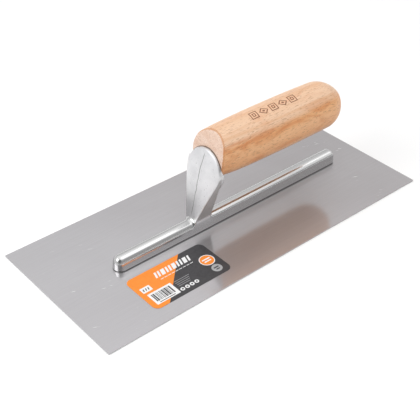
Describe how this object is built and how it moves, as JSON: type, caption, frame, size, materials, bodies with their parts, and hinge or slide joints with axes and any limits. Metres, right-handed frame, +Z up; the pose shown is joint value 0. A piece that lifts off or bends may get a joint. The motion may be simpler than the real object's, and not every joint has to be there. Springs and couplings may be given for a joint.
{
  "type": "steel finishing trowel",
  "caption": "Flat rectangular steel blade riveted under a long cast aluminium bar, whose leaning neck carries a straight oval beech handle above the blade.",
  "frame": {"origin": "middle of the blade's underside", "axes": "+X along the blade from toe to heel, +Y across the blade, +Z up from the working face to the handle"},
  "size_m": [0.28, 0.121, 0.0745],
  "materials": {
    "blade_steel": "brushed, dull grey",
    "cast_aluminium": "as cast, polished on the bar",
    "beech": "clear varnished beech",
    "zinc_steel": "bright zinc plate",
    "rivet_steel": "ground flush",
    "label_film": "printed film, orange and dark grey"
  },
  "bodies": {
    "root": {"blade": "blade_steel", "mounting": "cast_aluminium", "handle": "beech", "tie_rod": "zinc_steel", "handle_washer": "zinc_steel", "handle_nut": "zinc_steel", "label": "label_film", "rivet_1": "rivet_steel", "rivet_2": "rivet_steel", "rivet_3": "rivet_steel", "rivet_4": "rivet_steel", "rivet_5": "rivet_steel", "rivet_6": "rivet_steel", "rivet_7": "rivet_steel"}
  },
  "joints": []
}
